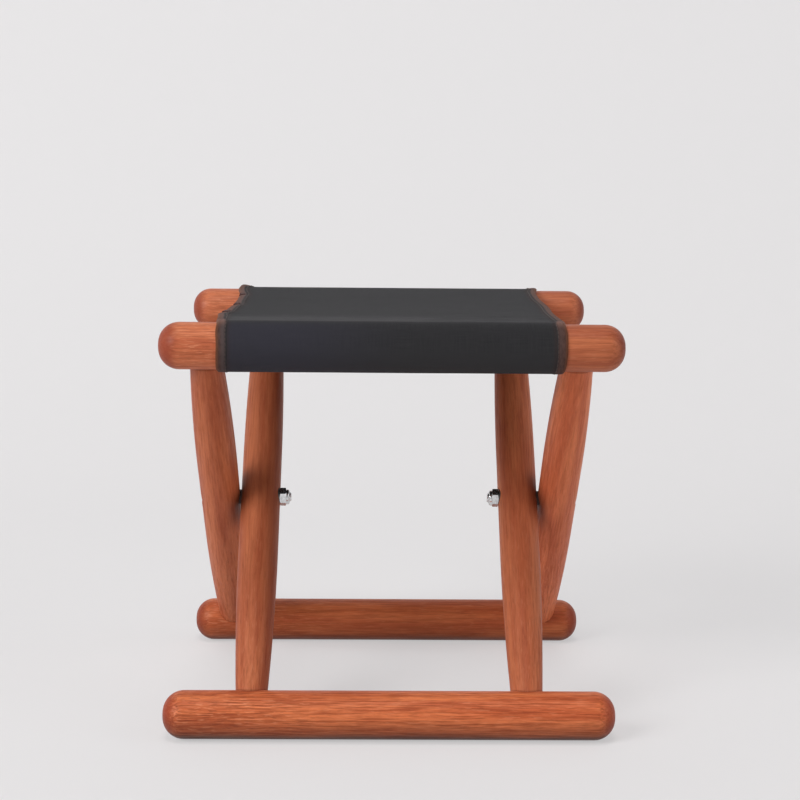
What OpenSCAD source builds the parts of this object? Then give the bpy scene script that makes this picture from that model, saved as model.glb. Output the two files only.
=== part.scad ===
// Folding stool: two crossed wooden frames on a pair of pivot bolts, with a
// canvas seat stretched between the two seat rails.
// X runs along the rails, Y from front to back, Z up from the floor.
// The origin lies on the floor under the middle of the stool.

/* [Rails] */
// Length of each of the four rails, end to end
rail_length = 295; // [280:1:360]
// Diameter of the two seat rails
seat_rail_d = 30; // [27:0.5:34]
// Diameter of the two floor rails
floor_rail_d = 31.5; // [27:0.5:36]
// Flat left in the middle of each domed rail end
rail_tip_d = 3.8; // [1:0.2:8]

/* [Stance] */
// Distance from front to rear rail centre lines
rail_spread = 228.6; // [190:1:260]
// Height from the floor rail centre lines to the seat rail centre lines
leg_rise = 242; // [220:1:320]

/* [Legs] */
// Diameter of a leg along its straight middle
leg_mid_d = 27.4; // [25:0.2:32]
// Diameter of a leg where it meets a rail
leg_end_d = 21; // [19:0.5:23]
// Length of the straight middle of a leg, before the tapers start
leg_straight = 80; // [40:5:120]
// Distance from the stool's middle to an outer leg's centre line
outer_leg_x = 118.4; // [112:0.2:122]
// Gap between the crossing legs
leg_gap = 0.6; // [0.4:0.1:3]

/* [Mortise and tenon] */
// Diameter of the tenons on the leg ends
tenon_d = 15; // [11:0.5:17]
// How far a tenon reaches past the rail's centre line
tenon_reach = 8; // [3:0.5:10]
// Glue gap round a tenon and under a leg's coped shoulder
glue_gap = 0.05; // [0.02:0.01:0.2]
// Space left at the bottom of a mortise
mortise_end_gap = 0.5; // [0.2:0.1:1.5]

/* [Pivot bolts] */
// Diameter of the bolt
bolt_d = 6.35; // [5:0.05:7]
// Diameter of the button head
bolt_head_d = 11.1; // [10:0.1:14]
// Height of the button head
bolt_head_h = 3.35; // [2.5:0.05:4]
// Straight rim at the foot of the button head
bolt_head_rim = 0.7; // [0.3:0.1:1.2]
// Width across the flats of the hexagon socket
socket_af = 3.97; // [3:0.01:5]
// Depth of the hexagon socket
socket_depth = 2; // [1:0.1:2.4]
// Depth of the head's seat below the outside of the leg
head_recess = 3.5; // [3.4:0.1:6]
// Room round the head in its counterbore
head_room = 0.4; // [0.3:0.1:1.5]
// Length of bolt that shows past the lock nut
bolt_stickout = 1.3; // [0.3:0.1:3]
// Chamfer at the bolt's end
bolt_chamfer = 0.5; // [0.2:0.1:1]

/* [Lock nuts and washers] */
// Width of the lock nut across its flats
nut_af = 11.1; // [10:0.1:14]
// How far the corners of the nut's faces are turned down inside the flats
nut_face_inset = 0.6; // [0.1:0.1:1]
// Height of the lock nut with its collar
nut_h = 7.1; // [6.5:0.1:10]
// Height of the round collar that holds the nylon ring
nut_collar_h = 1.9; // [1.7:0.1:3]
// Wall of the round collar outside the nylon ring
nut_collar_wall = 1.1; // [0.7:0.05:1.2]
// Rounding of the collar's rim
nut_collar_round = 1.1; // [0.3:0.1:1.2]
// Lip of the collar rolled over the nylon ring
nut_lip = 0.4; // [0.2:0.1:0.8]
// Width of the nylon ring from bore to rim
lock_ring_wall = 1.1; // [0.8:0.05:1.15]
// How far the lock nut's foot sits below the side of the leg
nut_sink = 0.6; // [0.2:0.1:0.8]
// Diameter of the washer under the lock nut
washer_d = 12; // [11.5:0.5:17]
// Thickness of the washer under the lock nut
washer_t = 1.2; // [0.8:0.1:2]
// Diameter of the spacer washer between the legs
spacer_d = 10; // [9:0.5:11]
// Depth of the spacer's seat in each leg
spacer_seat = 1.2; // [1:0.1:2]
// Room round a washer in its seat
washer_room = 0.3; // [0.2:0.1:1]
// Running gap at the pivot, round the bolt and beside the inner leg
running_gap = 0.05; // [0.02:0.01:0.09]

/* [Canvas seat] */
// Width of the seat with its edge tapes, where it crosses the rails
seat_width = 220; // [200:1:230]
// Thickness of the canvas
canvas_t = 1.2; // [0.8:0.1:2]
// Air between the canvas and the rails
canvas_clearance = 0.3; // [0.2:0.05:0.6]
// Air between the edge tapes, which fold round the canvas, and the rails
tape_clearance = 0.1; // [0.05:0.05:0.2]
// How far each side draws in at the middle of the seat
seat_waist = 2; // [1:0.5:10]
// Width of the brown edge tape
tape_width = 6.5; // [4:0.5:12]
// How far the edge tape stands above the canvas
tape_proud = 0.3; // [0.1:0.05:0.6]
// Gap at the two seams over the rails and at the seat's fold line
seam_gap = 0.1; // [0.05:0.05:0.3]
// Space between the lower edge of the full width and the legs
wrap_margin = 1.5; // [0.5:0.1:4]
// Space between the sides of the tail and the legs
tail_margin = 3; // [2:0.5:8]
// Angle round the rail at which the tail between the legs ends
tail_end = 302; // [301:1:310]

/* [Tacks] */
// Angle round the rail of the tack row
tack_angle = 290; // [286:0.5:292]
// Greatest distance between two tacks
tack_pitch = 26; // [15:1:60]
// Distance of the last tack from the side of the tail
tack_inset = 6; // [4:0.5:15]
// Diameter of a tack head
tack_head_d = 5.5; // [4:0.1:6]
// Height of a tack head
tack_head_h = 1.2; // [0.8:0.1:2]
// Diameter of a tack's shank
tack_shank_d = 1.6; // [1.2:0.1:2]
// Length of a tack below its head
tack_length = 10; // [7:0.5:12]

/* [Hidden] */
$fn = 96;
// Facets of the very large circles that draw in the sides of the seat
arc_fn = 1440;
// Facets of a tack's head
tack_fn = 32;
// Steps along each leg taper
taper_steps = 12;
// Steps round the corner of a sector that cuts a slice out of a ring
slice_steps = 12;
// Angles of the top and the bottom of a rail, in the plane across it
rail_top = 90;
rail_bottom = 270;
// Overlap that keeps cuts and unions clean
eps = 1;
wood = [0.66, 0.35, 0.23];
floor_wood = [0.7, 0.39, 0.26];
steel = [0.75, 0.76, 0.78];
nylon = [0.86, 0.86, 0.84];
fibre = [0.16, 0.11, 0.09];
canvas_colour = [0.2, 0.2, 0.21];
tape_colour = [0.33, 0.22, 0.18];
tack_colour = [0.45, 0.42, 0.38];

leg_r = leg_mid_d / 2;
inner_leg_x = outer_leg_x - leg_mid_d - leg_gap;
half_leg = norm([rail_spread, leg_rise]) / 2;
lean = atan2(rail_spread, leg_rise);
floor_z = floor_rail_d / 2;
seat_z = floor_z + leg_rise;
pivot_z = floor_z + leg_rise / 2;

head_seat_x = outer_leg_x + leg_r - head_recess;
spacer_x = outer_leg_x - leg_r + spacer_seat;
spacer_t = leg_gap + 2 * spacer_seat - running_gap;
nut_seat_depth = washer_t + nut_sink;
nut_x = inner_leg_x - leg_r + nut_sink - running_gap;
bolt_length = head_seat_x - nut_x + nut_h + bolt_stickout;

nut_hex_h = nut_h - nut_collar_h;
nut_corner_r = nut_af / 2 / cos(30);
ring_bore_r = bolt_d / 2 + running_gap / 2;
ring_rim_r = bolt_d / 2 + lock_ring_wall;
nut_collar_r = ring_rim_r + nut_collar_wall;
ring_h = nut_collar_h - nut_lip - running_gap;

seat_rail_r = seat_rail_d / 2;
half_seat = seat_width / 2;
half_canvas = half_seat - tape_width;
canvas_in_r = seat_rail_r + canvas_clearance;
canvas_out_r = canvas_in_r + canvas_t;
tape_in_r = seat_rail_r + tape_clearance;
tape_out_r = canvas_out_r + tape_proud;
waist_r = (pow(rail_spread / 2, 2) + seat_waist * seat_waist) / 2 / seat_waist;
waist_x = half_seat - seat_waist + waist_r;
wrap_end = rail_bottom + lean - asin((leg_end_d / 2 + wrap_margin) / canvas_out_r);

// A child drawn along Z at the origin, laid along one leg with its middle at the pivot
module along_leg(x, tilt) {
    translate([x, 0, pivot_z]) rotate([tilt, 0, 0]) children();
}

// A child drawn along Z, turned to point outwards along X on the pivot line
module on_pivot(x) {
    translate([x, 0, pivot_z]) rotate([0, 90, 0]) children();
}

// The same, pointing inwards, towards the middle of the stool
module on_pivot_inwards(x) {
    translate([x, 0, pivot_z]) rotate([0, -90, 0]) children();
}

module at_seat_rail() {
    translate([0, -rail_spread / 2, seat_z]) children();
}

// Half outline of a bar with domed ends, beside the turning axis
module rail_outline(d) {
    dome = (d - rail_tip_d) / 2;
    barrel = rail_length - 2 * dome;
    translate([0, -rail_length / 2]) square([rail_tip_d / 2, rail_length]);
    translate([0, -barrel / 2]) square([d / 2, barrel]);
    for (end = [-1, 1])
        intersection() {
            translate([rail_tip_d / 2, end * barrel / 2]) circle(dome);
            translate([0, -rail_length / 2]) square([d / 2, rail_length]);
        }
}

module rail_bar(d) {
    rotate([0, 90, 0]) rotate_extrude() rail_outline(d);
}

// Blind hole for the tenon at the upper end of a leg
module mortise(rail_d) {
    mouth = half_leg - rail_d / 2 - eps;
    bottom = half_leg + tenon_reach + mortise_end_gap;
    translate([0, 0, mouth]) cylinder(r = tenon_d / 2 + glue_gap, h = bottom - mouth);
}

// Half outline of a leg: straight in the middle, with a long arc to each end
module leg_outline() {
    start = leg_straight / 2;
    drop = (leg_mid_d - leg_end_d) / 2;
    run = half_leg - seat_rail_r - start;
    sweep = (run * run + drop * drop) / 2 / drop;
    taper = [
        for (k = [0 : taper_steps])
            let (past = (half_leg - start) * k / taper_steps)
            [leg_r - sweep + sqrt(sweep * sweep - past * past), start + past]
    ];
    polygon(concat(
        [[0, -half_leg]],
        [for (k = [taper_steps : -1 : 0]) [taper[k].x, -taper[k].y]],
        taper,
        [[0, half_leg]]
    ));
}

module cope(rail_d) {
    translate([0, 0, half_leg]) rotate([0, 90, 0])
        cylinder(r = rail_d / 2 + glue_gap, h = 2 * leg_mid_d, center = true);
}

module tenon(rail_d) {
    root = half_leg - rail_d / 2 - tenon_d;
    translate([0, 0, root]) cylinder(d = tenon_d, h = half_leg + tenon_reach - root);
}

// One turned leg, coped at both ends to sit on its rails, with its tenons
module turned_leg() {
    difference() {
        rotate_extrude() leg_outline();
        cope(seat_rail_d);
        mirror([0, 0, 1]) cope(floor_rail_d);
    }
    tenon(seat_rail_d);
    mirror([0, 0, 1]) tenon(floor_rail_d);
}

module bolt_hole(x) {
    on_pivot(x - leg_mid_d) cylinder(r = bolt_d / 2 + running_gap, h = 2 * leg_mid_d);
}

// Room for the spacer washer, let into both legs
module spacer_hole() {
    on_pivot_inwards(spacer_x)
        cylinder(d = spacer_d + 2 * washer_room, h = leg_gap + 2 * spacer_seat);
}

module outer_leg() {
    difference() {
        along_leg(outer_leg_x, lean) turned_leg();
        bolt_hole(outer_leg_x);
        on_pivot(head_seat_x) cylinder(d = bolt_head_d + 2 * head_room, h = head_recess + eps);
        spacer_hole();
    }
}

module inner_leg() {
    difference() {
        along_leg(inner_leg_x, -lean) turned_leg();
        bolt_hole(inner_leg_x);
        spacer_hole();
        on_pivot_inwards(inner_leg_x - leg_r + nut_seat_depth)
            cylinder(d = washer_d + 2 * washer_room, h = nut_seat_depth + eps);
    }
}

module pivot_bolt() {
    dome_h = bolt_head_h - bolt_head_rim;
    dome_r = (pow(bolt_head_d / 2, 2) + dome_h * dome_h) / 2 / dome_h;
    on_pivot(head_seat_x) difference() {
        union() {
            rotate_extrude() intersection() {
                translate([0, bolt_head_h - dome_r]) circle(dome_r);
                square([bolt_head_d / 2, bolt_head_h]);
            }
            rotate_extrude() polygon([
                [0, -bolt_length], [bolt_d / 2 - bolt_chamfer, -bolt_length],
                [bolt_d / 2, bolt_chamfer - bolt_length], [bolt_d / 2, eps], [0, eps]
            ]);
        }
        translate([0, 0, bolt_head_h - socket_depth])
            cylinder(d = socket_af / cos(30), h = socket_depth + eps, $fn = 6);
    }
}

// Hexagon with its corners turned down at both ends
module nut_hexagon() {
    face_r = nut_af / 2 - nut_face_inset;
    bevel = (nut_corner_r - face_r) * tan(30);
    intersection() {
        cylinder(r = nut_corner_r, h = nut_hex_h, $fn = 6);
        rotate_extrude() polygon([
            [0, 0], [face_r, 0], [nut_corner_r, bevel],
            [nut_corner_r, nut_hex_h - bevel], [face_r, nut_hex_h], [0, nut_hex_h]
        ]);
    }
}

module nut_collar() {
    shoulder_r = nut_collar_r - nut_collar_round;
    shoulder_h = nut_collar_h - nut_collar_round;
    rotate_extrude() translate([0, nut_hex_h]) {
        translate([0, -eps]) square([nut_collar_r, shoulder_h + eps]);
        square([shoulder_r, nut_collar_h]);
        translate([shoulder_r, shoulder_h]) circle(nut_collar_round);
    }
}

module lock_nut() {
    on_pivot_inwards(nut_x) difference() {
        union() {
            nut_hexagon();
            nut_collar();
        }
        translate([0, 0, -eps]) cylinder(r = bolt_d / 2 + running_gap, h = nut_h + 2 * eps);
        translate([0, 0, nut_hex_h])
            cylinder(r = ring_rim_r + running_gap, h = nut_collar_h - nut_lip);
        translate([0, 0, nut_hex_h]) cylinder(r = ring_rim_r - nut_lip, h = nut_collar_h + eps);
    }
}

module lock_ring() {
    on_pivot_inwards(nut_x) translate([0, 0, nut_hex_h]) difference() {
        cylinder(r = ring_rim_r, h = ring_h);
        translate([0, 0, -eps]) cylinder(r = ring_bore_r, h = ring_h + 2 * eps);
    }
}

module plain_washer(d, t) {
    difference() {
        cylinder(d = d, h = t);
        translate([0, 0, -eps]) cylinder(r = bolt_d / 2 + running_gap, h = t + 2 * eps);
    }
}

module nut_washer() {
    on_pivot_inwards(nut_x + washer_t) plain_washer(washer_d, washer_t);
}

module leg_spacer() {
    on_pivot_inwards(spacer_x) plain_washer(spacer_d, spacer_t);
}

// Slice of a ring between two angles, in the plane across a rail
module ring_slice(inner_r, outer_r, from, to) {
    intersection() {
        difference() {
            circle(outer_r);
            circle(inner_r);
        }
        polygon(concat([[0, 0]], [
            for (k = [0 : slice_steps])
                let (a = from + (to - from) * k / slice_steps)
                2 * outer_r * [cos(a), sin(a)]
        ]));
    }
}

// A slice of a ring drawn out along the rail, from x0 to x1
module wrap(x0, x1, inner_r, outer_r, to) {
    translate([x0, 0, 0]) rotate([90, 0, 90])
        linear_extrude(x1 - x0) ring_slice(inner_r, outer_r, rail_top, to);
}

// Half width of the tail that passes between two legs under the rail
function tail_half(leg_x) = min(half_canvas, leg_x - leg_end_d / 2 - tail_margin);

// Places of the tacks along the tail
function tack_places(leg_x) =
    let (
        last = tail_half(leg_x) - tack_inset,
        spaces = ceil(2 * last / tack_pitch)
    )
    [for (k = [0 : spaces]) -last + 2 * last * k / spaces];

module on_tack_row(leg_x) {
    for (x = tack_places(leg_x))
        translate([x, 0, 0]) rotate([tack_angle - 90, 0, 0])
            translate([0, 0, canvas_out_r]) children();
}

module tack_hole() {
    translate([0, 0, -tack_length - mortise_end_gap])
        cylinder(r = tack_shank_d / 2 + glue_gap, h = tack_length + mortise_end_gap + eps);
}

module tack() {
    dome_r = (pow(tack_head_d / 2, 2) + tack_head_h * tack_head_h) / 2 / tack_head_h;
    rotate_extrude($fn = tack_fn) {
        intersection() {
            translate([0, tack_head_h - dome_r]) circle(dome_r);
            square([tack_head_d / 2, tack_head_h]);
        }
        polygon([
            [0, eps / 2], [0, -tack_length], [tack_shank_d / 2, tack_shank_d - tack_length],
            [tack_shank_d / 2, eps / 2]
        ]);
    }
}

module canvas_wrap(leg_x) {
    difference() {
        union() {
            wrap(-half_canvas, half_canvas, canvas_in_r, canvas_out_r, wrap_end);
            wrap(-tail_half(leg_x), tail_half(leg_x), canvas_in_r, canvas_out_r, tail_end);
        }
        on_tack_row(leg_x) tack_hole();
    }
}

module tape_wrap() {
    for (side = [-1, 1])
        translate([side * (half_seat - tape_width / 2), 0, 0])
            wrap(-tape_width / 2, tape_width / 2, tape_in_r, tape_out_r, wrap_end);
}

// Front half of the seat, square at its sides
module front_half() {
    front = seam_gap - rail_spread / 2;
    back = -seam_gap / 2;
    translate([-half_seat, front]) square([seat_width, back - front]);
}

// Two large circles that draw in the sides of the seat
module side_circles(r) {
    for (side = [-1, 1]) translate([side * waist_x, 0]) circle(r, $fn = arc_fn);
}

module canvas_panel() {
    translate([0, 0, seat_z + canvas_in_r]) linear_extrude(canvas_t) difference() {
        front_half();
        side_circles(waist_r + tape_width);
    }
}

module tape_panel() {
    translate([0, 0, seat_z + tape_in_r])
        linear_extrude(tape_out_r - tape_in_r) intersection() {
            front_half();
            difference() {
                side_circles(waist_r + tape_width);
                side_circles(waist_r);
            }
        }
}

// A child drawn for the right side, and the same on the left
module left() {
    mirror([1, 0, 0]) children();
}

// A child drawn for the front rail, and the same on the rear rail
module rear() {
    mirror([0, 1, 0]) children();
}

// Seat rail at the front, for legs that run down and back from it
module seat_rail(leg_x) {
    difference() {
        at_seat_rail() rail_bar(seat_rail_d);
        for (side = [-1, 1]) along_leg(side * leg_x, lean) mortise(seat_rail_d);
        at_seat_rail() on_tack_row(leg_x) tack_hole();
    }
}

// Floor rail at the front, for legs that run up and back from it
module floor_rail(leg_x) {
    difference() {
        translate([0, -rail_spread / 2, floor_z]) rail_bar(floor_rail_d);
        for (side = [-1, 1])
            along_leg(side * leg_x, -lean) mirror([0, 0, 1]) mortise(floor_rail_d);
    }
}

module front_seat_rail() {
    color(wood) seat_rail(outer_leg_x);
}

module rear_seat_rail() {
    color(wood) rear() seat_rail(inner_leg_x);
}

module front_floor_rail() {
    color(floor_wood) floor_rail(inner_leg_x);
}

module rear_floor_rail() {
    color(floor_wood) rear() floor_rail(outer_leg_x);
}

module outer_leg_left() {
    color(wood) left() outer_leg();
}

module outer_leg_right() {
    color(wood) outer_leg();
}

module inner_leg_left() {
    color(wood) left() inner_leg();
}

module inner_leg_right() {
    color(wood) inner_leg();
}

module pivot_bolt_left() {
    color(steel) left() pivot_bolt();
}

module pivot_bolt_right() {
    color(steel) pivot_bolt();
}

module lock_nut_left() {
    color(steel) left() lock_nut();
}

module lock_nut_right() {
    color(steel) lock_nut();
}

module lock_ring_left() {
    color(nylon) left() lock_ring();
}

module lock_ring_right() {
    color(nylon) lock_ring();
}

module nut_washer_left() {
    color(steel) left() nut_washer();
}

module nut_washer_right() {
    color(steel) nut_washer();
}

module leg_spacer_left() {
    color(fibre) left() leg_spacer();
}

module leg_spacer_right() {
    color(fibre) leg_spacer();
}

module canvas_front_wrap() {
    color(canvas_colour) at_seat_rail() canvas_wrap(outer_leg_x);
}

module canvas_front_panel() {
    color(canvas_colour) canvas_panel();
}

module canvas_rear_panel() {
    color(canvas_colour) rear() canvas_panel();
}

module canvas_rear_wrap() {
    color(canvas_colour) rear() at_seat_rail() canvas_wrap(inner_leg_x);
}

module tape_front_wrap() {
    color(tape_colour) at_seat_rail() tape_wrap();
}

module tape_front_panel() {
    color(tape_colour) tape_panel();
}

module tape_rear_panel() {
    color(tape_colour) rear() tape_panel();
}

module tape_rear_wrap() {
    color(tape_colour) rear() at_seat_rail() tape_wrap();
}

module front_tacks() {
    color(tack_colour) at_seat_rail() on_tack_row(outer_leg_x) tack();
}

module rear_tacks() {
    color(tack_colour) rear() at_seat_rail() on_tack_row(inner_leg_x) tack();
}

front_seat_rail();
rear_seat_rail();
front_floor_rail();
rear_floor_rail();
outer_leg_left();
outer_leg_right();
inner_leg_left();
inner_leg_right();
pivot_bolt_left();
pivot_bolt_right();
lock_nut_left();
lock_nut_right();
lock_ring_left();
lock_ring_right();
nut_washer_left();
nut_washer_right();
leg_spacer_left();
leg_spacer_right();
canvas_front_wrap();
canvas_front_panel();
canvas_rear_panel();
canvas_rear_wrap();
tape_front_wrap();
tape_front_panel();
tape_rear_panel();
tape_rear_wrap();
front_tacks();
rear_tacks();
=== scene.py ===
import math

import bpy
from mathutils import Matrix, Vector, noise


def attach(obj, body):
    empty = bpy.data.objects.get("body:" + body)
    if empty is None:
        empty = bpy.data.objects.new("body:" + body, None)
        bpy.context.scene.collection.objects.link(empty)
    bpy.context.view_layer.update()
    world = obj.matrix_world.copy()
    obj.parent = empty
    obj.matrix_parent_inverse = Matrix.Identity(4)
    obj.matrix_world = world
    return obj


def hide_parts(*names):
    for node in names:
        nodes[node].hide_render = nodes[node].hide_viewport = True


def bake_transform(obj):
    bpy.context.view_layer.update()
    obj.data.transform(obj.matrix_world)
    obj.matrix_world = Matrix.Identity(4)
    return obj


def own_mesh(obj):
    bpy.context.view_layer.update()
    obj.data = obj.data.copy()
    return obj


# Folding stool: turned wood, a taut canvas seat, bright lock nuts. Metres, drawn as it stands open.
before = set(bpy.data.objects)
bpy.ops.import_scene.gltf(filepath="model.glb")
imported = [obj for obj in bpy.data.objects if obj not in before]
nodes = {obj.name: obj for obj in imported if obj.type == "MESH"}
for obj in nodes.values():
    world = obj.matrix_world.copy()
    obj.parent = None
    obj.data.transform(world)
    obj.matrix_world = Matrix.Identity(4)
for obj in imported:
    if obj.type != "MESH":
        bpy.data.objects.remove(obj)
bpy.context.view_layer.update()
scene = bpy.context.scene

cameraView = {
    "place": (-0.01274, -1.24365, 0.39866),
    "pitch": 8.796,  # degrees below the horizon
    "yaw": 0.9105,  # degrees to the right
    "roll": -0.508,
    "lens": 81.0,
    "sensor": 36.0,
    "clip": (0.05, 50),
}


def setCamera(view):
    pitch, yaw, roll = (math.radians(view[key]) for key in ("pitch", "yaw", "roll"))
    ahead = Vector((
        math.sin(yaw) * math.cos(pitch), math.cos(yaw) * math.cos(pitch), -math.sin(pitch),
    ))
    level = Vector((math.cos(yaw), -math.sin(yaw), 0))
    down = ahead.cross(level)
    right = math.cos(roll) * level + math.sin(roll) * down
    low = math.cos(roll) * down - math.sin(roll) * level
    data = bpy.data.cameras.new("stoolCamera")
    data.lens, data.sensor_width = view["lens"], view["sensor"]
    data.clip_start, data.clip_end = view["clip"]
    camera = bpy.data.objects.new("stoolCamera", data)
    scene.collection.objects.link(camera)
    facing = Matrix((right, -low, -ahead)).transposed().to_4x4()
    camera.matrix_world = Matrix.Translation(view["place"]) @ facing
    scene.camera = camera


setCamera(cameraView)
print("camera set")


# short ways to lay and join shader nodes
def newMaterial(name):
    material = bpy.data.materials.new(name)
    material.use_nodes = True
    tree = material.node_tree
    tree.nodes.clear()
    output = tree.nodes.new("ShaderNodeOutputMaterial")
    shader = tree.nodes.new("ShaderNodeBsdfPrincipled")
    tree.links.new(shader.outputs[0], output.inputs[0])
    return material, tree, shader


def wire(socket, value):
    if isinstance(value, bpy.types.NodeSocket):
        socket.id_data.links.new(value, socket)
    else:
        socket.default_value = value


def newNode(kind, *values):
    # a node in the tree that its values come from; they fill its first inputs
    tree = next(value.id_data for value in values if isinstance(value, bpy.types.NodeSocket))
    made = tree.nodes.new("ShaderNode" + kind)
    for socket, value in zip(made.inputs, values):
        wire(socket, value)
    return made


def objectPlace(tree):
    return tree.nodes.new("ShaderNodeTexCoord").outputs["Object"]


def clothPlace(tree):
    picked = tree.nodes.new("ShaderNodeUVMap")
    picked.uv_map = "ClothPlace"
    return picked.outputs[0]


def calc(operation, a, b=0.0, c=0.0):
    made = newNode("Math", a, b, c)
    made.operation = operation
    return made.outputs[0]


def times(a, b):
    return calc("MULTIPLY", a, b)


def minus(a, b):
    return calc("SUBTRACT", a, b)


def sizeOf(a):
    return calc("ABSOLUTE", a)


def between(value, low, high, start=0.0, end=1.0):
    # start where the value is low, end where it is high, and a smooth change from one to the other
    made = newNode("MapRange", value, low, high, start, end)
    made.interpolation_type = "SMOOTHSTEP"
    return made.outputs[0]


def blendColours(share, *colours):
    made = newNode("Mix", share)
    made.data_type = "RGBA"
    for socket, colour in zip(made.inputs[6:8], colours):
        wire(socket, colour if isinstance(colour, bpy.types.NodeSocket) else (*colour, 1))
    return made.outputs[2]


def moved(place, by):
    return newNode("VectorMath", place, by).outputs[0]


def split(place):
    return list(newNode("SeparateXYZ", place).outputs)


def noiseOf(place, rate, detail=2.0, rough=0.5, bent=0.0):
    # rate: about how often the noise repeats in a metre, along each axis
    lay = newNode("VectorMath", place, rate)
    lay.operation = "MULTIPLY"
    made = newNode("TexNoise", lay.outputs[0])
    made.inputs["Scale"].default_value = 1.0
    made.inputs["Detail"].default_value = detail
    made.inputs["Roughness"].default_value = rough
    made.inputs["Distortion"].default_value = bent
    return made.outputs[0]


def setSurface(shader, colour, roughness, height, bump):
    wire(shader.inputs["Base Color"], colour)
    wire(shader.inputs["Roughness"], roughness)
    made = shader.id_data.nodes.new("ShaderNodeBump")
    made.inputs["Strength"].default_value, made.inputs["Distance"].default_value = bump
    wire(made.inputs["Height"], height)
    wire(shader.inputs["Normal"], made.outputs[0])


def setSheen(shader, look):
    shader.inputs["Specular IOR Level"].default_value = look["gloss"]
    shader.inputs["Sheen Weight"].default_value = look["sheen"]
    shader.inputs["Sheen Roughness"].default_value = look["sheenRough"]
    shader.inputs["Sheen Tint"].default_value = look["sheenTint"]


def darker(colour, share):
    return tuple(share * part for part in colour)


def dress(name, material):
    piece = nodes[name]
    piece.data.materials.clear()
    piece.data.materials.append(material)


# places of the turned bars, the same as in the part's source
stoolPlaces = {
    "halfSpread": 0.1143,
    "seatZ": 0.25775,
    "floorZ": 0.01575,
    "pivotZ": 0.13675,
    "lean": math.atan2(0.2286, 0.242),
    "halfLeg": 0.16645,
    "railRound": 0.0154,
    "outerLegX": 0.1184,
    "innerLegX": 0.0904,
}

# reddish hardwood, turned and oiled; streaks run along each bar
woodLook = {
    "light": (0.770, 0.212, 0.076),
    "middle": (0.590, 0.132, 0.046),
    "dark": (0.285, 0.047, 0.013),
    "pore": (0.125, 0.021, 0.007),
    "pale": (0.880, 0.330, 0.160),
    "endGrain": (0.330, 0.047, 0.016),
    "shadeBelow": (0.074, 0.029, 0.019),  # painted shade on the floor rails' undersides
    "pivotShade": (0.148, 0.030, 0.011),  # painted shade between the crossing legs, round the pivots
    "roughness": (0.42, 0.56),  # between the streaks and on them
    "bump": (0.5, 0.00016),  # strength and depth
    # noise: rates across, across and along a bar, detail, roughness
    "wanderNoise": ((60, 60, 16), 2.0),
    "figureNoise": ((105, 140, 7), 3.0, 0.55),
    "threadNoise": ((1900, 1900, 70), 2.0, 0.6),
    "fleckNoise": ((1050, 1050, 110), 2.0, 0.55),
    "streakAcross": 700,
    "streakNoise": (3.0, 0.58),
    # where in its noise each of them starts and is full
    "figureFrom": (0.36, 0.64),
    "streaksFrom": (0.44, 0.64),
    "threadsFrom": (0.35, 0.7),
    "poresFrom": (0.57, 0.66),
    "paleFrom": (0.45, 0.34),
    "streakShare": 0.60,
    "threadShare": 0.36,
    "fleckFade": 0.45,  # the part of the flecks that is left where they are few
    "streakSink": 0.5,  # how deep streaks and pores lie in the bump
    "poreSink": 1.0,
    "drift": 0.003,  # how far the grain wanders sideways
    "seedStep": (0.31, 0.17, 0.53),  # from one bar's place in the noise to the next
    "toneEnd": 0.13,  # from a bar's middle to where its end tones, partly painted light and shade, are full
}
railTips = {
    "half": 0.1475,  # from a rail's middle to its tip
    "middle": 0.05,  # within this, the left end zone gives way to the right one
    "uneven": 0.006,
    "setIn": 0.0080,  # the length over which end grain takes over
    "share": 0.85,
    "mottleNoise": ((420, 420, 420), 3.0),
    "mottled": (0.3, 0.7, 0.0, 0.4),
}
woodMarks = {
    "shoulder": (0.0003, 0.0017),  # how far out from the rail the dark line starts and ends
    "shoulderShare": 0.5,
    # painted shade on the floor rails, on the flank, then underneath: the height where it starts,
    # where it is full, and share
    "shadeBelow": ((0.0220, 0.0080, 0.40), (0.0090, 0.0020, 0.88)),
    "shadeBelowUneven": 0.006,
    "pivotShadeSide": (0.0020, 0.0125),  # from a leg's middle towards the leg that it crosses
    "pivotShadeBelow": 0.0035,  # the painted shade's middle is this far below the bolt
    "pivotShadeReach": (0.010, 0.036),
    "pivotShadeUneven": 0.010,
    "pivotShadeShare": 0.64,
    "flankShadeFull": 0.011,  # from a leg's middle to where its painted flank shade is full
}


def domeEnds(spot, own, wander, endZone, colour, height):
    # at the domed tips of a rail the streaks give way to mottled end grain
    tips = railTips
    along = split(spot)[2]
    zone = between(along, -tips["middle"], tips["middle"], *endZone)
    start = minus(tips["half"], zone)
    uneven = calc("MULTIPLY_ADD", wander, tips["uneven"], sizeOf(along))
    dome = between(minus(uneven, start), 0.0, tips["setIn"])
    mottle = between(noiseOf(own, *tips["mottleNoise"]), *tips["mottled"])
    ends = blendColours(mottle, woodLook["endGrain"], woodLook["dark"])
    colour = blendColours(times(dome, tips["share"]), colour, ends)
    return colour, times(height, minus(1.0, dome))


def shoulderLine(spot, colour):
    # a thin dark line where a leg's coped shoulder sits on its rail
    across, along = split(spot)[1:]
    short = minus(stoolPlaces["halfLeg"], sizeOf(along))
    squares = calc("MULTIPLY_ADD", short, short, times(across, across))
    start, stop = (stoolPlaces["railRound"] + gap for gap in woodMarks["shoulder"])
    away = calc("SQRT", squares)
    line = between(away, start, stop, woodMarks["shoulderShare"], 0.0)
    return blendColours(line, colour, woodLook["pore"])


def shadedUnderside(tree, wander, amount, colour):
    # painted shade: a floor rail darkens towards the ground, most of all where it stands
    uneven = times(minus(wander, 0.5), woodMarks["shadeBelowUneven"])
    height = calc("ADD", split(objectPlace(tree))[2], uneven)
    for start, full, share in woodMarks["shadeBelow"]:
        undersideShade = between(height, start, full, 0.0, share * amount)
        colour = blendColours(undersideShade, colour, woodLook["shadeBelow"])
    return colour


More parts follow.
